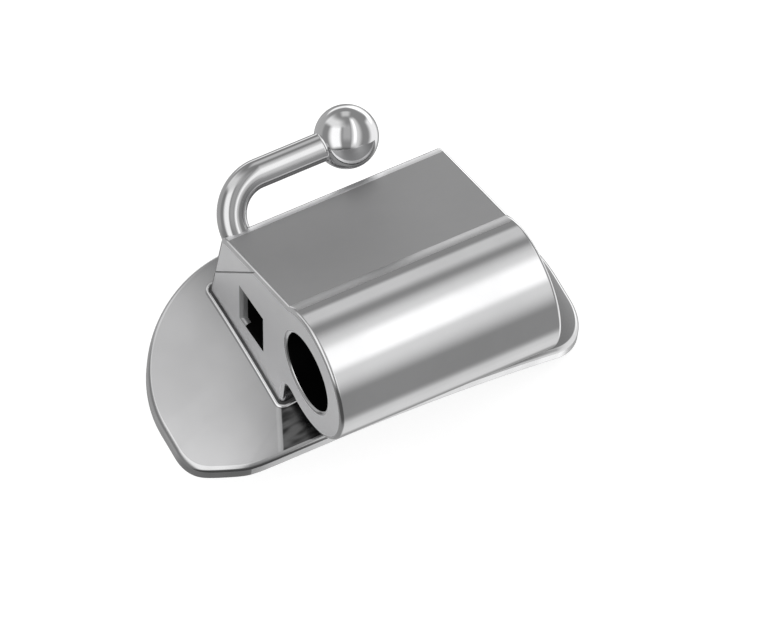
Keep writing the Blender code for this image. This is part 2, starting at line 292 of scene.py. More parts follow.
def grid_faces(rows, columns, close_rows=False, close_columns=True):
    """Quads between the points of a grid, which may join up with itself either way."""
    index = np.arange(rows * columns).reshape(rows, columns)
    if close_columns:
        index = np.concatenate([index, index[:, :1]], axis=1)
    if close_rows:
        index = np.concatenate([index, index[:1]])
    corners = (index[:-1, :-1], index[:-1, 1:], index[1:, 1:], index[1:, :-1])
    return np.stack(corners, axis=-1).reshape(-1, 4)


def skin(name, rings, materials=(), span_materials=None, end_material=0):
    """A closed skin: quads between rings of points, and one flat face over each end ring.

    The material of each span is given as a table with a row for each pair of rings.
    """
    rings = np.asarray(rings)
    rows, columns = rings.shape[:2]
    faces = grid_faces(rows, columns).tolist()
    faces.append(list(range(columns))[::-1])
    faces.append(list(range((rows - 1) * columns, rows * columns)))
    if span_materials is not None:
        span_materials = np.append(span_materials.ravel(), [end_material] * 2)
    return add_object(name, rings.reshape(-1, 3), faces, materials, span_materials)


def apply_modifiers(thing):
    """Puts the object's modifiers into its mesh for good."""
    graph = bpy.context.evaluated_depsgraph_get()
    made = bpy.data.meshes.new_from_object(thing.evaluated_get(graph))
    thing.modifiers.clear()
    thing.data = made


def combine(thing, operation, helper):
    """Cuts or joins a helper for good, keeping the helper's materials, and removes the helper."""
    modifier = thing.modifiers.new(helper.name, "BOOLEAN")
    modifier.operation = operation
    modifier.solver = "EXACT"
    modifier.material_mode = "TRANSFER"
    modifier.object = helper
    apply_modifiers(thing)
    bpy.data.objects.remove(helper)


def polish_normals(thing, sharp_degrees):
    """Smooth shading that keeps flat faces flat: sharp edges by angle, then area-weighted normals.

    The weighting is done with the mesh in millimetres, since it passes over areas as small as these
    are in square metres.
    """
    thing.data.transform(Matrix.Scale(1 / METRES, 4))
    thing.data.shade_smooth()
    thing.data.set_sharp_from_angle(angle=np.radians(sharp_degrees))
    weighted = thing.modifiers.new("flat faces", "WEIGHTED_NORMAL")
    weighted.mode = "FACE_AREA"
    weighted.keep_sharp = True
    apply_modifiers(thing)
    thing.data.transform(Matrix.Scale(METRES, 4))


def body_outline(inset):
    """The body's section as a row of points, drawn inside its true outline by inset.

    It goes up the drafted gingival wall, round the ridge, over the ridge's bevel, up the ramp to the
    crease, round the headgear tube to the web fillet under it, and down the occlusal wall.
    """
    run = BORE_CENTRE - RIDGE
    lift = np.arcsin(TUBE_RADIUS * np.cos(CREASE_ANGLE) / np.linalg.norm(run))
    slope = np.arctan2(run[1], run[0]) + lift
    wall_in = np.array([np.cos(GINGIVAL_DRAFT), -np.sin(GINGIVAL_DRAFT)])
    ramp_in = np.array([np.sin(slope), -np.cos(slope)])
    bevel = slope + BEVEL_TILT
    bevel_in = np.array([np.sin(bevel), -np.cos(bevel)])
    ridge_turn = np.pi / 2 - slope - GINGIVAL_DRAFT
    bevel_run = RIDGE_BEVEL * np.sin(ridge_turn - BEVEL_TILT) / np.sin(ridge_turn)
    ramp_foot = RIDGE + bevel_run * turned(slope)
    wall_head = ramp_foot - RIDGE_BEVEL * turned(bevel)
    ridge_centre = wall_head + RIDGE_ROUND * (wall_in + bevel_in) / (1 + wall_in @ bevel_in)
    ridge_turns = (np.pi - GINGIVAL_DRAFT, np.pi / 2 + bevel)
    ridge = arc(ridge_centre, RIDGE_ROUND - inset, *ridge_turns, RIDGE_STEPS)
    ramp_foot = ramp_foot + inset * (bevel_in + ramp_in) / (1 + bevel_in @ ramp_in)

    radius = TUBE_RADIUS - inset
    crease = np.pi / 2 + slope + np.arccos((TUBE_RADIUS * np.cos(CREASE_ANGLE) - inset) / radius)
    side = WEB_FILLET - WEB_OFFSET
    drop = np.sqrt((TUBE_RADIUS + WEB_FILLET) ** 2 - side ** 2)
    turn = np.arctan2(-drop, side)
    tube = arc(BORE_CENTRE, radius, crease, turn, TUBE_STEPS)
    fillet_centre = BORE_CENTRE + np.array([side, -drop])
    fillet = arc(fillet_centre, WEB_FILLET + inset, turn + np.pi, np.pi, FILLET_STEPS)

    foot = PAD_LOW[2] - PAST
    wall_top = ridge[0]
    gingival_foot = [wall_top[0] - (wall_top[1] - foot) * np.tan(GINGIVAL_DRAFT), foot]
    occlusal_foot = [BORE_CENTRE[0] - WEB_OFFSET - inset, foot]
    return np.vstack([gingival_foot, ridge, ramp_foot, tube, fillet[1:], occlusal_foot])


def body_prism(name, steels):
    """The body's section carried from the mesial to the distal face, with quarter-round edges."""
    turns = np.linspace(np.pi / 2, 0, EDGE_STEPS + 1)
    insets = EDGE_ROUND * (1 - np.cos(turns))
    depths = EDGE_ROUND * (1 - np.sin(turns))
    stations = np.concatenate([MESIAL_X + depths, DISTAL_X - depths[::-1]])
    insets = np.concatenate([insets, insets[::-1]])
    rings = np.array([place(x, body_outline(inset)) for x, inset in zip(stations, insets)])
    # The web, the ridge's round and the wall's mesial edge get a dark tone: painted shade
    bevel = 1 + RIDGE_STEPS
    ramp = bevel + 1
    crease = ramp + 1
    web = crease + TUBE_STEPS
    spans = np.full((len(stations) - 1, rings.shape[1]), WORN)
    spans[EDGE_STEPS] = WALL
    spans[EDGE_STEPS, 1:bevel] = WEB
    # The ridge's bevel gets a lighter tone: painted highlight
    spans[EDGE_STEPS, bevel] = BEVEL
    # The ramp is satin; its darker tone than the body's is painted shade
    spans[EDGE_STEPS, ramp] = RAMP
    # The crease is rougher and a little darker; the darker tone is painted shade
    spans[EDGE_STEPS, crease:crease + CREASE_STEPS] = CREASE
    spans[EDGE_STEPS, web:] = WEB
    spans[:EDGE_STEPS, 0] = WEB
    # The flat ends take the much lighter end steel: painted light
    return skin(name, rings, steels, spans, end_material=END)


def seat_cutter():
    """All that lies under the body's seat: a grid on the pad's curve, and the same grid far below."""
    reach = np.array([PAD_HIGH[0], PAD_OCCLUSAL_REACH]) + PAST
    x, o = np.meshgrid(*(np.linspace(-r, r, n) for r, n in zip(reach, SEAT_POINTS)), indexing="ij")
    top = np.stack([x, -o, PAD_THICKNESS - SUNK + dome(x, o)], axis=-1)
    bottom = np.stack([x, -o, np.full_like(x, PAD_LOW[2] - 2 * PAST)], axis=-1)
    rows, columns = x.shape
    count = rows * columns
    quads = grid_faces(rows, columns, close_columns=False)
    index = np.arange(count).reshape(rows, columns)
    edge = np.concatenate([index[:-1, 0], index[-1, :-1], index[:0:-1, -1], index[0, :0:-1]])
    after = np.roll(edge, -1)
    walls = np.stack([edge, after, after + count, edge + count], axis=-1)
    faces = np.concatenate([quads[:, ::-1], quads + count, walls]).tolist()
    return add_object("seat cutter", np.concatenate([top, bottom]).reshape(-1, 3), faces)


def mouth_profile(width):
    """A quarter-round mouth as (depths, flares), which both run over the same width."""
    turns = np.linspace(0, np.pi / 2, MOUTH_STEPS + 1)
    return width * (1 - np.cos(turns)), width * (1 - np.sin(turns))


def slot_ring(x, gingival, other):
    """The slot's outline at x, opened on its gingival side and on the other sides.

    Its low and high walls have one more point each, near the gingival wall.
    """
    across, up = turned(SLOT_TORQUE), turned(SLOT_TORQUE + np.pi / 2)
    half_width, half_depth = SLOT_WIDTH / 2, SLOT_DEPTH / 2
    near, far = -half_width - gingival - other, half_width + other
    low, high = -half_depth - other, half_depth + other
    inner = FUNNEL_INNER - half_width
    low_wall = (near, low), (inner, low), (far, low)
    high_wall = (far, high), (inner, high), (near, high)
    corners = np.array(low_wall + high_wall)
    return place(x, SLOT_CENTRE + corners[:, :1] * across + corners[:, 1:] * up)


def slot_cutter(steels):
    """The archwire slot right through the body, with rounded mouths and its mesial funnel.

    The steels are those of the funnel's mouth, on and beside its gingival wall, and of the rest,
    which is near black: painted shade.
    """
    depths, flares = mouth_profile(SLOT_MOUTH_ROUND)
    funnel_depths = np.append(depths, FUNNEL_POLISHED)
    funnel_flares = np.append(flares, 0.0)
    widening = FUNNEL_GINGIVAL * (1 - funnel_depths / FUNNEL_LENGTH)
    funnel = zip(MESIAL_X + funnel_depths, widening, funnel_flares)
    rings = [slot_ring(MESIAL_X - PAST, FUNNEL_GINGIVAL, SLOT_MOUTH_ROUND)]
    rings += [slot_ring(x, gingival, other) for x, gingival, other in funnel]
    rings.append(slot_ring(MESIAL_X + FUNNEL_LENGTH, 0.0, 0.0))
    rings += [slot_ring(DISTAL_X - d, 0.0, f) for d, f in zip(depths[::-1], flares[::-1])]
    rings.append(slot_ring(DISTAL_X + PAST, 0.0, SLOT_MOUTH_ROUND))
    gingival_columns = [0, 4, 5]
    spans = np.ones((len(rings) - 1, len(rings[0])), int)
    spans[:len(depths) + 1, gingival_columns] = 0
    return skin("slot cutter", rings, steels, spans)


def bore_cutter(steels):
    """The round bore right through the body, with a quarter-round mouth at each end.

    The steels are those of the mouths' worn outer half and of the rest, which is near black:
    painted shade.
    """
    depths, flares = mouth_profile(BORE_MOUTH)
    stations = [MESIAL_X - PAST, *(MESIAL_X + depths), *(DISTAL_X - depths[::-1]), DISTAL_X + PAST]
    radii = BORE_RADIUS + np.array([BORE_MOUTH, *flares, *flares[::-1], BORE_MOUTH])
    rings = [place(x, arc(BORE_CENTRE, r, 0, 2 * np.pi, BORE_STEPS)[:-1]) for x, r in zip(stations, radii)]
    spans = np.zeros((len(rings) - 1, BORE_STEPS), int)
    worn = 1 + len(depths) // 2
    spans[worn:-worn] = 1
    return skin("bore cutter", rings, steels, spans)


def root_block(name):
    """The corner of the body that the hook's root fills: a box along the hook's axis."""
    outside = TUBE_RADIUS + PAST
    corners = ((-ROOT_DEPTH, -outside), (-ROOT_DEPTH, outside), (outside, outside), (outside, -outside))
    section = np.array([RIDGE + out * HOOK_AXIS + side * HOOK_SIDE for out, side in corners])
    distal = MESIAL_X + HOOK_INSET + 2 * ROD_RADIUS + ROOT_MARGIN
    return skin(name, [place(x, section) for x in (MESIAL_X - PAST, distal)])


def seam_cutter(name, satin):
    """A thin V-shaped groove on the mesial face, along the edge of the hook's root.

    The V reaches twice its depth outside the face, so it is three times as wide there.
    """
    along = place(0.0, HOOK_SIDE)
    across = place(0.0, HOOK_AXIS)
    middle = place(MESIAL_X, RIDGE - ROOT_DEPTH * HOOK_AXIS)
    half = SEAM_WIDTH / 2
    section = ((-2 * SEAM_DEPTH, -3 * half), (SEAM_DEPTH, 0.0), (-2 * SEAM_DEPTH, 3 * half))
    ring = np.array([middle + [depth, 0, 0] + side * across for depth, side in section])
    reach = TUBE_RADIUS * along
    return skin(name, [ring - reach, ring + reach], [satin])


def make_body(steels, dark):
    """The tube body: its prism cut by the pad's curve, the slot, the bore and the hook's notch."""
    body = body_prism("tube_housing", steels)
    combine(body, "DIFFERENCE", seat_cutter())
    combine(body, "DIFFERENCE", slot_cutter([steels[RAMP], dark]))
    combine(body, "DIFFERENCE", bore_cutter([steels[WORN], dark]))
    combine(body, "DIFFERENCE", root_block("notch cutter"))
    combine(body, "DIFFERENCE", seam_cutter("body seam", steels[RAMP]))
    polish_normals(body, BODY_SHARP)
    return body


def hook_line():
    """The hook's centre line: out along its axis, a quarter bend, then distally to the ball's middle.

    It gives the line's points, the directions there, and the ball's middle.
    """
    out = place(0.0, HOOK_AXIS)
    distally = np.array([1.0, 0.0, 0.0])
    base = place(MESIAL_X + HOOK_INSET + ROD_RADIUS, RIDGE - HOOK_OFFSET * HOOK_SIDE)
    turns = np.linspace(0, np.pi / 2, BEND_STEPS + 1)[:, None]
    bend = base + HOOK_BEND * (np.sin(turns) * out + (1 - np.cos(turns)) * distally)
    headings = np.cos(turns) * out + np.sin(turns) * distally
    start = base - ROD_SEAT * out
    ball = bend[-1].copy()
    ball[0] = MESIAL_X + HOOK_REACH
    return np.vstack([start, bend]), np.vstack([out, headings]), ball


def hook_skin(materials):
    """The rod and ball as one turned skin: circles about the centre line.

    Their radius is the rod's, then a small concave fillet, then the ball's, which closes at its pole.
    The materials are the rod's and the ball's.
    """
    points, headings, ball = hook_line()
    neck = BALL_RADIUS + BALL_FILLET
    height = ROD_RADIUS + BALL_FILLET
    back = np.sqrt(neck ** 2 - height ** 2)
    touch = np.arctan2(height, -back)
    fillet = arc(np.array([-back, height]), BALL_FILLET, -np.pi / 2, touch - np.pi, BALL_FILLET_STEPS)
    sphere = arc(np.zeros(2), BALL_RADIUS, touch, 0.0, BALL_STEPS)
    turned_profile = np.vstack([fillet, sphere[1:-1]])
    distally = headings[-1]
    centres = np.vstack([points, ball + turned_profile[:, :1] * distally])
    radii = np.concatenate([np.full(len(points), ROD_RADIUS), turned_profile[:, 1]])
    headings = np.vstack([headings, np.tile(distally, (len(turned_profile), 1))])
    side = place(0.0, HOOK_SIDE)
    up = np.cross(side, headings)
    circle = turned(np.linspace(0, 2 * np.pi, ROD_STEPS + 1)[:-1])
    spokes = circle[None, :, :1] * side + circle[None, :, 1:] * up[:, None, :]
    rings = centres[:, None, :] + radii[:, None, None] * spokes
    spans = np.zeros(rings.shape[:2], int)[1:]
    spans[len(points):] = 1
    return skin("hook rod", rings, materials, spans, end_material=1)


def make_hook(steels, rod_steels):
    """The ball hook: a root wedge that completes the body's corner, with the rod and ball on it."""
    hook = body_prism("hook_wire", steels)
    combine(hook, "INTERSECT", root_block("root trimmer"))
    combine(hook, "DIFFERENCE", seam_cutter("root seam", steels[RAMP]))
    combine(hook, "UNION", hook_skin(rod_steels))
    polish_normals(hook, BODY_SHARP)
    return hook


def pad_outline(inset):
    """The pad's outline in (x, o): four corner arcs, a wide occlusal arc and a straight gingival edge.

    A short flat is ground on the mesial occlusal corner. What reaches past the flat's line is moved
    back onto it, by half of (past + the root of past squared plus the rounding squared).
    """
    quarter = np.pi / 2
    begin, end = quarter - PAD_EDGE_TURN, quarter + PAD_EDGE_TURN
    corners = (
        (1, PAD_GINGIVAL_CORNER, GINGIVAL_CORNER_O, -quarter, 0.0),
        (1, PAD_OCCLUSAL_CORNER, OCCLUSAL_CORNER_O, 0.0, begin),
        (0, PAD_OCCLUSAL_RADIUS, PAD_EDGE_O, begin, end),
        (-1, PAD_OCCLUSAL_CORNER, OCCLUSAL_CORNER_O, end, np.pi),
        (-1, PAD_GINGIVAL_CORNER, GINGIVAL_CORNER_O, np.pi, 3 * quarter),
    )
    parts = []
    for side, radius, centre_o, start, stop in corners:
        centre = np.array([PAD_MIDDLE_X + side * (PAD_HALF_LENGTH - radius), centre_o])
        parts.append(arc(centre, radius - inset, start, stop, CORNER_STEPS))
    parts[2] = parts[2][1:-1]
    parts.append(np.linspace(parts[-1][-1], parts[0][0], GINGIVAL_EDGE_STEPS + 1)[1:-1])
    outline = np.vstack(parts)
    facing = turned(PAD_FLAT_TURN)
    corner = np.array([PAD_MIDDLE_X - PAD_HALF_LENGTH + PAD_OCCLUSAL_CORNER, OCCLUSAL_CORNER_O])
    past = (outline - corner) @ facing - (PAD_OCCLUSAL_CORNER - inset - PAD_FLAT_CUT)
    return outline - (past + np.hypot(past, PAD_FLAT_ROUND))[:, None] / 2 * facing


def pad_ring(inset, level, share=1.0):
    """The outline shrunk by inset and then to a share of its size, laid on the curve at a level."""
    middle = np.array([PAD_MIDDLE_X, (PAD_OCCLUSAL_REACH - PAD_GINGIVAL_REACH) / 2])
    x, o = (middle + share * (pad_outline(inset) - middle)).T
    return np.stack([x, -o, level + dome(x, o)], axis=-1)


def make_pad(steels):
    """The pad: an etched pocket inside its border on the back, a rounded rim and a smooth front.

    Its side has painted light: a lighter tone from the distal end round to the end of the occlusal edge.
    """
    floor_inset = BORDER_WIDTH + BORDER_SLOPE
    shares = np.linspace(0.03, 1.0, PAD_FACE_STEPS + 1)
    turns = np.linspace(0, np.pi / 2, RIM_STEPS + 1)
    back = PAD_BACK_ROUND * (1 - np.stack([np.sin(turns), np.cos(turns)], axis=-1))
    front = PAD_RIM_ROUND * np.stack([1 - np.cos(turns), np.sin(turns) - 1], axis=-1)
    rings = [pad_ring(floor_inset, STUD_HEIGHT, share) for share in shares]
    rings.append(pad_ring(BORDER_WIDTH, 0.0))
    rings += [pad_ring(inset, level) for inset, level in back]
    rings += [pad_ring(inset, PAD_THICKNESS + level) for inset, level in front]
    rings += [pad_ring(PAD_RIM_ROUND, PAD_THICKNESS, share) for share in shares[::-1][1:]]
    border = len(shares)
    rim = border + RIM_STEPS + 2
    spans = np.full((len(rings) - 1, len(rings[0])), FRONT)
    spans[:border] = ETCHED
    spans[border:rim] = SIDE
    # The lighter stretch of the side: painted light
    spans[rim - 1, CORNER_STEPS:3 * CORNER_STEPS + 1] = BRIGHT_SIDE
    # A lighter tone on the rim's round, for its bright line: painted highlight
    spans[rim:rim + RIM_STEPS] = RIM
    pad = skin("bonding_pad", rings, steels, spans)
    polish_normals(pad, PAD_SHARP)
    return pad


def pad_half_length(o, inset):
    """Half of the pad's length at o, inside its outline by inset: the least that its arcs allow."""
    halves = [np.sqrt(np.maximum((PAD_OCCLUSAL_RADIUS - inset) ** 2 - (o - PAD_EDGE_O) ** 2, 0.0))]
    occlusal = (1, PAD_OCCLUSAL_CORNER, OCCLUSAL_CORNER_O)
    gingival = (-1, PAD_GINGIVAL_CORNER, GINGIVAL_CORNER_O)
    for side, radius, centre in (occlusal, gingival):
        beyond = np.maximum(side * (o - centre), 0.0)
        reach = np.sqrt(np.maximum((radius - inset) ** 2 - beyond ** 2, 0.0))
        halves.append(PAD_HALF_LENGTH - radius + reach)
    return np.min(halves, axis=0)


def make_studs(material):
    """Undercut studs on a square grid: rounded squares that widen from their necks to their tips."""
    half = STUD_TIP / 2
    inset = BORDER_WIDTH + BORDER_SLOPE + half
    count = int(PAD_HIGH[0] / STUD_PITCH)
    x, o = (a.ravel() * STUD_PITCH for a in np.meshgrid(*[np.arange(-count, count + 1)] * 2))
    room = np.minimum(pad_half_length(o - half, inset), pad_half_length(o + half, inset))
    in_rows = (inset - PAD_GINGIVAL_REACH < o) & (o < PAD_OCCLUSAL_REACH - inset)
    fits = in_rows & (np.abs(x - PAD_MIDDLE_X) < room)
    x, o = x[fits], o[fits]

    quarters = np.radians([0, 90, 180, 270])[:, None] + np.radians([15, 75])
    bulge = STUD_CORNER * turned(quarters.ravel())
    corner = np.repeat(np.array([(1, 1), (-1, 1), (-1, -1), (1, -1)]), 2, axis=0)
    root = (STUD_HEIGHT + PAD_THICKNESS) / 2
    levels = np.array([root, STUD_HEIGHT, STUD_HEIGHT / 3, STUD_TIP_ROUND, 0.0])
    sides = np.array([STUD_NECK, STUD_NECK, STUD_TIP, STUD_TIP, STUD_TIP - 2 * STUD_TIP_ROUND])
    square = corner * (sides[:, None, None] / 2 - STUD_CORNER) + bulge
    px = x[:, None, None] + square[..., 0]
    po = o[:, None, None] + square[..., 1]
    points = np.stack([px, -po, levels[:, None] + dome(px, po)], axis=-1)
    stud_count, rows, columns = px.shape
    ends = np.stack([np.arange(columns)[::-1], np.arange(columns) + (rows - 1) * columns])
    shift = (np.arange(stud_count) * rows * columns)[:, None, None]
    faces = (grid_faces(rows, columns) + shift).reshape(-1, 4).tolist()
    faces += (ends + shift).reshape(-1, columns).tolist()
    studs = add_object("retention_studs", points.reshape(-1, 3), faces, [material])
    polish_normals(studs, STUD_SHARP)
    return studs


def foot_path():
    """The body's footprint in (x, o) as a closed path: a rectangle with rounded corners."""
    outline = body_outline(0.0)
    share = (PAD_THICKNESS - outline[0, 1]) / (outline[1, 1] - outline[0, 1])
    gingival = outline[0, 0] + share * (outline[1, 0] - outline[0, 0])
    low = np.array([MESIAL_X, gingival]) + EDGE_ROUND
    high = np.array([DISTAL_X, BORE_CENTRE[0] - WEB_OFFSET]) - EDGE_ROUND
    corners = ((high[0], low[1]), (high[0], high[1]), (low[0], high[1]), (low[0], low[1]))
    parts = []
    for quarter, centre in enumerate(corners):
        start = np.pi / 2 * (quarter - 1)
        parts.append(arc(np.array(centre), EDGE_ROUND, start, start + np.pi / 2, FOOT_CORNER_STEPS))
    after = parts[1:] + parts[:1]
    sides = [np.linspace(a[-1], b[0], FOOT_SIDE_STEPS + 1)[1:-1] for a, b in zip(parts, after)]
    return np.vstack([line for pair in zip(parts, sides) for line in pair])


def make_bead(bright, dark):
    """The joint round the body's foot: a dark line of painted shade on the pad, then a thin raised bead of
    braze.

    A profile of (reach, rise) is carried along the foot's path, at right angles to it. The bead's
    part of it is an arc.
    """
    path = foot_path()
    ahead = unit(np.roll(path, -1, axis=0) - np.roll(path, 1, axis=0))
    outward = np.stack([ahead[:, 1], -ahead[:, 0]], axis=-1)
    centre = np.array([JOINT_WIDTH + BEAD_RADIUS, 0.0])
    bead = arc(centre, BEAD_RADIUS, np.pi - np.arcsin(JOINT_RISE / BEAD_RADIUS), 0.0, BEAD_STEPS)
    inner = [(-BEAD_SUNK, -BEAD_SUNK), (-BEAD_SUNK, JOINT_RISE)]
    outer = (centre[0] + BEAD_RADIUS, -BEAD_SUNK)
    reach, rise = np.vstack([inner, bead, outer]).T
    x, o = np.moveaxis(path + reach[:, None, None] * outward, -1, 0)
    points = np.stack([x, -o, PAD_THICKNESS + rise[:, None] + dome(x, o)], axis=-1)
    rows, columns = x.shape
    spans = np.zeros((rows, columns), int)
    # The strip next to the wall is dark: painted shade at the joint
    spans[:2] = 1
    faces = grid_faces(rows, columns, close_rows=True).tolist()
    piece = add_object("braze_bead", points.reshape(-1, 3), faces, [bright, dark], spans.ravel())
    polish_normals(piece, BEAD_SHARP)
    return piece


def socket(group, name, direction, kind="NodeSocketFloat", default=None):
    """Adds a socket to a node group."""
    made = group.interface.new_socket(name=name, in_out=direction, socket_type=kind)
    if default is not None:
        made.default_value = default


def node(tree, kind, inputs=None, **settings):
    """Adds a node, with its settings, and with its inputs set to values or joined to sockets."""
    made = tree.nodes.new(kind)
    for key, value in settings.items():
        setattr(made, key, value)
    for key, value in (inputs or {}).items():
        if isinstance(value, bpy.types.NodeSocket):
            tree.links.new(value, made.inputs[key])
        else:
            made.inputs[key].default_value = value
    return made


def math(tree, operation, first, second=0.0):
    """The output of a Math node."""
    return node(tree, "ShaderNodeMath", {0: first, 1: second}, operation=operation).outputs[0]


def remap(tree, value, low, high, to_low=0.0, to_high=1.0, smooth=True):
    """The output of a Map Range node from low..high to to_low..to_high."""
    inputs = {"Value": value, "From Min": low, "From Max": high, "To Min": to_low, "To Max": to_high}
    style = "SMOOTHSTEP" if smooth else "LINEAR"
    return node(tree, "ShaderNodeMapRange", inputs, interpolation_type=style).outputs["Result"]


def along(tree, direction, axis):
    """How far a direction runs along an axis: the output of a dot product."""
    made = node(tree, "ShaderNodeVectorMath", {0: direction, 1: tuple(axis)}, operation="DOT_PRODUCT")
    return made.outputs["Value"]


def window(tree, value, start, full, hold, end):
    """One from full to hold, falling smoothly to nothing at start and at end."""
    return math(tree, "MULTIPLY", remap(tree, value, start, full), remap(tree, value, end, hold))


def polish_group():
    """Polish that changes over the surface: cloudy gloss, a faint mottled tone and fine hairlines."""
    group = bpy.data.node_groups.new("Tumbled polish", "ShaderNodeTree")
    socket(group, "Gloss low", "INPUT", default=0.06)
    socket(group, "Gloss high", "INPUT", default=0.12)
    socket(group, "Tone low", "INPUT", default=0.6)
    socket(group, "Tone high", "INPUT", default=0.64)
    socket(group, "Cloud scale", "INPUT", default=CLOUD_SCALE)
    socket(group, "Hairline scale", "INPUT", default=HAIRLINE_SCALE)
    socket(group, "Roughness", "OUTPUT")
    socket(group, "Color", "OUTPUT", "NodeSocketColor")
    socket(group, "Height", "OUTPUT")
    begin = node(group, "NodeGroupInput")
    end = node(group, "NodeGroupOutput")
    where = node(group, "ShaderNodeTexCoord").outputs["Object"]
    clouds = {"Vector": where, "Scale": begin.outputs["Cloud scale"], "Detail": 4.0, "Roughness": 0.55}
    cloud = node(group, "ShaderNodeTexNoise", clouds).outputs["Fac"]
    grain = {"Vector": where, "Rotation": (0.5, 0.3, 0.9), "Scale": (0.05, 1.0, 1.0)}
    stretched = node(group, "ShaderNodeMapping", grain).outputs[0]
    fineness = begin.outputs["Hairline scale"]
    hairs = {"Vector": stretched, "Scale": fineness, "Detail": 3.0, "Roughness": 0.6}
    hair = node(group, "ShaderNodeTexNoise", hairs).outputs["Fac"]
    share = remap(group, cloud, 0.35, 0.65)
    gloss = [begin.outputs[name] for name in ("Gloss low", "Gloss high")]
    tones = [begin.outputs[name] for name in ("Tone high", "Tone low")]
    tone = remap(group, share, 0.0, 1.0, *tones, smooth=False)
    blue = math(group, "MULTIPLY", tone, COOL_TINT)
    colour = node(group, "ShaderNodeCombineColor", {0: tone, 1: tone, 2: blue})
    group.links.new(remap(group, share, 0.0, 1.0, *gloss, smooth=False), end.inputs["Roughness"])
    group.links.new(colour.outputs[0], end.inputs["Color"])
    group.links.new(hair, end.inputs["Height"])
    return group


def steel_material(name, polish, gloss, tone):
    """Stainless steel with a cloudy gloss and hairlines, between two roughnesses and two tones."""
    material = bpy.data.materials.new(name)
    material.use_nodes = True
    tree = material.node_tree
    shader = tree.nodes["Principled BSDF"]
    shader.inputs["Metallic"].default_value = 1.0
    finish = node(tree, "ShaderNodeGroup", node_tree=polish)
    finish.inputs["Gloss low"].default_value, finish.inputs["Gloss high"].default_value = gloss
    finish.inputs["Tone low"].default_value, finish.inputs["Tone high"].default_value = tone
    bump = node(tree, "ShaderNodeBump", {"Height": finish.outputs["Height"], "Distance": HAIRLINE_DEPTH})
    tree.links.new(finish.outputs["Color"], shader.inputs["Base Color"])
    tree.links.new(finish.outputs["Roughness"], shader.inputs["Roughness"])
    tree.links.new(bump.outputs["Normal"], shader.inputs["Normal"])
    return material


def painted_shade_material(name, polish, tone):
    """Near-black painted shade that gives hardly any reflection, inside the slot and bore and in the joint
    line.
    """
    material = steel_material(name, polish, SHADE_GLOSS, tone)
    shader = material.node_tree.nodes["Principled BSDF"]
    shader.inputs["Metallic"].default_value = 0.0
    shader.inputs["Specular IOR Level"].default_value = 0.0
    return material


def crevice_shade_group():
    """A streaky patch of painted shade on the pad, where the crevice under the round tube opens mesially.

    Its mesial border is a slanting line with a pale line of painted highlight along it.
    """
    group = bpy.data.node_groups.new("Painted crevice shade", "ShaderNodeTree")
    socket(group, "Color", "INPUT", "NodeSocketColor")
    socket(group, "Color", "OUTPUT", "NodeSocketColor")
    begin = node(group, "NodeGroupInput")
    end = node(group, "NodeGroupOutput")
    where = node(group, "ShaderNodeTexCoord").outputs["Object"]
    parts = node(group, "ShaderNodeSeparateXYZ", {0: where}).outputs
    x = math(group, "MULTIPLY", parts["X"], 1 / METRES)
    o = math(group, "MULTIPLY", parts["Y"], -1 / METRES)
    across = math(group, "ADD", x, math(group, "MULTIPLY", o, PATCH_SLANT))
    inward = math(group, "SUBTRACT", across, PATCH_START)
    beyond_wall = remap(group, o, PATCH_OCCLUSAL - PATCH_OCCLUSAL_FADE, PATCH_OCCLUSAL)
    # Painted shade, darker in streaks
    dark = math(group, "MULTIPLY", window(group, inward, *CREVICE_SHADE_STOPS), beyond_wall)
    # Painted highlight: a pale line along the shade's slanting border
    pale = math(group, "MULTIPLY", window(group, inward, *CREVICE_HIGHLIGHT_STOPS), beyond_wall)
    stretched = node(group, "ShaderNodeMapping", {"Vector": where, "Scale": (0.15, 1.0, 1.0)})
    streaks = {"Vector": stretched.outputs[0], "Scale": HAIRLINE_SCALE, "Detail": 1.0}
    streak = node(group, "ShaderNodeTexNoise", streaks).outputs["Fac"]
    darkness = math(group, "MULTIPLY", dark, remap(group, streak, 0.3, 0.7, *CREVICE_SHADE_DARKNESS))
    left = math(group, "SUBTRACT", 1.0, darkness)
    gain = math(group, "ADD", left, math(group, "MULTIPLY", pale, CREVICE_HIGHLIGHT_GAIN))
    scaled = {0: begin.outputs["Color"], "Scale": gain}
    tone = node(group, "ShaderNodeVectorMath", scaled, operation="SCALE")
    group.links.new(tone.outputs[0], end.inputs["Color"])
    return group


def front_material(polish):
    """The pad's front: satin steel with the patch of painted shade on it."""
    material = steel_material("pad_steel", polish, (0.18, 0.20), (0.40, 0.42))
    tree = material.node_tree
    shader = tree.nodes["Principled BSDF"]
    colour = shader.inputs["Base Color"].links[0].from_socket
    patch = node(tree, "ShaderNodeGroup", {"Color": colour}, node_tree=crevice_shade_group())
    tree.links.new(patch.outputs["Color"], shader.inputs["Base Color"])
    return material


def camera_axes():
    """The camera's right, up and backward directions, from its azimuth, elevation and roll."""
    flat = np.array([np.sin(CAMERA_AZIMUTH), -np.cos(CAMERA_AZIMUTH)]) * np.cos(CAMERA_ELEVATION)
    back = np.append(flat, np.sin(CAMERA_ELEVATION))
    level_right = unit(np.cross([0, 0, 1], back))
    level_up = np.cross(back, level_right)
    right = np.cos(CAMERA_ROLL) * level_right + np.sin(CAMERA_ROLL) * level_up
    return right, np.cross(back, right), back


def make_camera():
    """The camera, far enough off for its long lens to frame the picture's width at the target."""
    right, up, back = camera_axes()
    data = bpy.data.cameras.new("camera")
    data.lens, data.sensor_width = CAMERA_LENS, CAMERA_SENSOR
    data.clip_start, data.clip_end = 0.001, 10.0
    camera = bpy.data.objects.new("camera", data)
    bpy.context.scene.collection.objects.link(camera)
    distance = PICTURE_WIDTH * CAMERA_LENS / CAMERA_SENSOR
    pose = np.eye(4)
    pose[:3, :3] = np.stack([right, up, back], axis=-1)
    pose[:3, 3] = (CAMERA_TARGET + distance * back) * METRES
    camera.matrix_world = Matrix(pose.tolist())
    bpy.context.scene.camera = camera


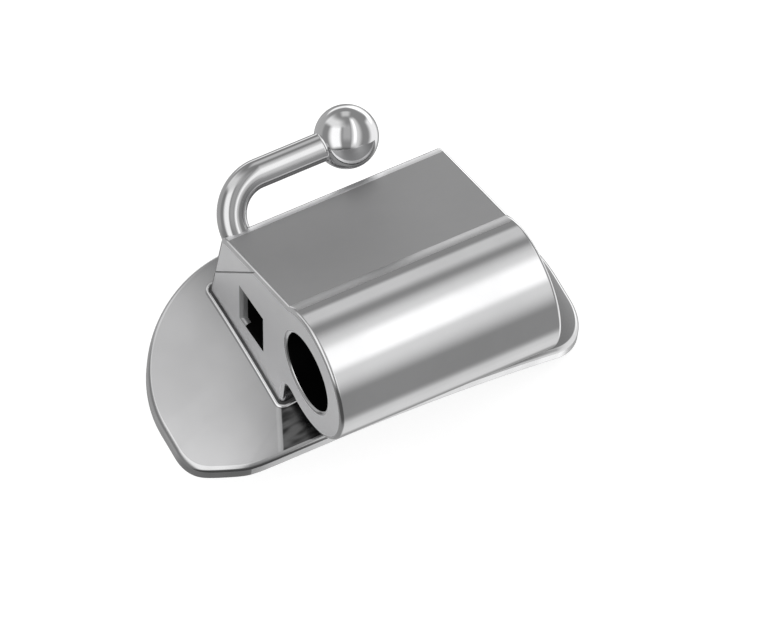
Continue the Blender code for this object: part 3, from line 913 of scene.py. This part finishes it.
def make_world():
    """A white studio of soft boxes round the object, seen only in its reflections and light.

    The boxes are smooth windows on the direction's azimuth about the studio's upright axis and on
    its parts along the studio's right, up and front axes, which are the camera's. The light is dimmer
    low in front, except far to the right. The camera itself sees plain white.
    """
    world = bpy.data.worlds.new("studio")
    bpy.context.scene.world = world
    world.use_nodes = True
    tree = world.node_tree
    tree.nodes.clear()
    ray = node(tree, "ShaderNodeTexCoord").outputs["Generated"]
    right, up, front = (along(tree, ray, axis) for axis in camera_axes())
    azimuth = math(tree, "MULTIPLY", math(tree, "ARCTAN2", right, front), 180 / np.pi)
    directions = {"azimuth": azimuth, "right": right, "up": up, "front": front}

    total = STUDIO_LIGHT
    for strength, *windows in SOFT_BOXES:
        light = strength
        for direction, *stops in windows:
            light = math(tree, "MULTIPLY", window(tree, directions[direction], *stops), light)
        total = math(tree, "ADD", light, total)
    low = math(tree, "MULTIPLY", remap(tree, up, -0.55, -0.78), remap(tree, front, -0.45, -0.15))
    dim = math(tree, "MULTIPLY", low, remap(tree, right, 0.60, 0.35))
    left = remap(tree, dim, 0.0, 1.0, 1.0, LOW_SHARE, smooth=False)
    total = math(tree, "MULTIPLY", total, left)
    seen = node(tree, "ShaderNodeLightPath").outputs["Is Camera Ray"]
    mix = node(tree, "ShaderNodeMix", {"Factor": seen, "A": total, "B": 1.0}, data_type="FLOAT")
    lit = {"Color": (1, 1, 1, 1), "Strength": mix.outputs["Result"]}
    background = node(tree, "ShaderNodeBackground", lit)
    node(tree, "ShaderNodeOutputWorld", {"Surface": background.outputs[0]})


def make_floor():
    """A pale floor under the pad's ends: matt white with the object's shadow, clear from below."""
    sides = ((-1, -1), (1, -1), (1, 1), (-1, 1))
    corners = [(x * FLOOR_REACH, y * FLOOR_REACH, PAD_LOW[2]) for x, y in sides]
    material = bpy.data.materials.new("studio_floor")
    material.use_nodes = True
    tree = material.node_tree
    tree.nodes.clear()
    pale = (FLOOR_TONE, FLOOR_TONE, FLOOR_TONE, 1)
    matt = node(tree, "ShaderNodeBsdfDiffuse", {"Color": pale}).outputs[0]
    seen = node(tree, "ShaderNodeLightPath").outputs["Is Camera Ray"]
    shine = math(tree, "MULTIPLY", seen, FLOOR_GLOW)
    glow = node(tree, "ShaderNodeEmission", {"Strength": shine}).outputs[0]
    top = node(tree, "ShaderNodeAddShader", {0: matt, 1: glow}).outputs[0]
    clear = node(tree, "ShaderNodeBsdfTransparent").outputs[0]
    under = node(tree, "ShaderNodeNewGeometry").outputs["Backfacing"]
    surface = node(tree, "ShaderNodeMixShader", {0: under, 1: top, 2: clear}).outputs[0]
    node(tree, "ShaderNodeOutputMaterial", {"Surface": surface})
    floor = add_object("floor", corners, [(0, 1, 2, 3)], [material])
    floor.visible_glossy = False


# Finishes: two roughnesses and then two tones, between which each one changes over its surface
polish = polish_group()
pad_steel = front_material(polish)
pad_side = steel_material("pad_side", polish, (0.22, 0.30), (0.38, 0.42))
# The rim is lighter than the pad's front: painted highlight
rim_steel = steel_material("rim_steel", polish, (0.14, 0.18), (0.48, 0.52))
# Lighter tone for one stretch of the pad's side: painted light
painted_light_side_steel = steel_material("painted_light_side_steel", polish, (0.22, 0.30), (0.74, 0.78))
etched_steel = steel_material("etched_steel", polish, (0.40, 0.60), (0.45, 0.55))
body_steel = steel_material("body_steel", polish, (0.07, 0.09), (0.60, 0.63))
# Satin ramp; its tone, darker than the body's, is painted shade
ramp_steel = steel_material("ramp_steel", polish, (0.48, 0.52), (0.45, 0.46))
# The flat end faces get a much lighter tone than the rest of the steel: painted light
end_steel = steel_material("end_steel", polish, (0.44, 0.48), (0.92, 0.95))
# Crease: rougher, and a little darker than the body: the darker tone is painted shade
crease_steel = steel_material("crease_steel", polish, (0.32, 0.36), (0.49, 0.51))
# Lighter tone for the ridge's bevel, for its bright line: painted highlight
ridge_steel = steel_material("ridge_steel", polish, (0.36, 0.40), (0.88, 0.92))
# Dark tone for the web, the ridge's round and the wall's mesial edge: painted shade
painted_shade_steel = steel_material("painted_shade_steel", polish, (0.25, 0.35), (0.18, 0.24))
worn_steel = steel_material("worn_steel", polish, (0.12, 0.16), (0.58, 0.64))
# The rod's tone is a little darker than the ball's: painted shade
rod_steel = steel_material("rod_steel", polish, (0.07, 0.09), (0.51, 0.54))
ball_steel = steel_material("ball_steel", polish, (0.05, 0.07), (0.60, 0.63))
bore_painted_shade = painted_shade_material("bore_painted_shade", polish, (0.002, 0.004))
joint_painted_shade = painted_shade_material("joint_painted_shade", polish, (0.05, 0.10))

pad_steels = (pad_steel, etched_steel, pad_side, rim_steel, painted_light_side_steel)
body_steels = (body_steel, ramp_steel, worn_steel, painted_shade_steel, end_steel, crease_steel, ridge_steel)
pieces = (
    (make_pad(pad_steels), "pad_steel", "base_pad"),
    (make_studs(etched_steel), "pad_steel", None),
    (make_body(body_steels, bore_painted_shade), "body_steel", "tube_body"),
    (make_bead(worn_steel, joint_painted_shade), "body_steel", None),
    (make_hook(body_steels, (rod_steel, ball_steel)), "hook_steel", "ball_hook"),
)
for piece, slot, replaced in pieces:
    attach(piece, "root")
    if replaced:
        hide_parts(replaced)

make_camera()
make_world()
make_floor()
bpy.context.scene.view_settings.view_transform = "Standard"
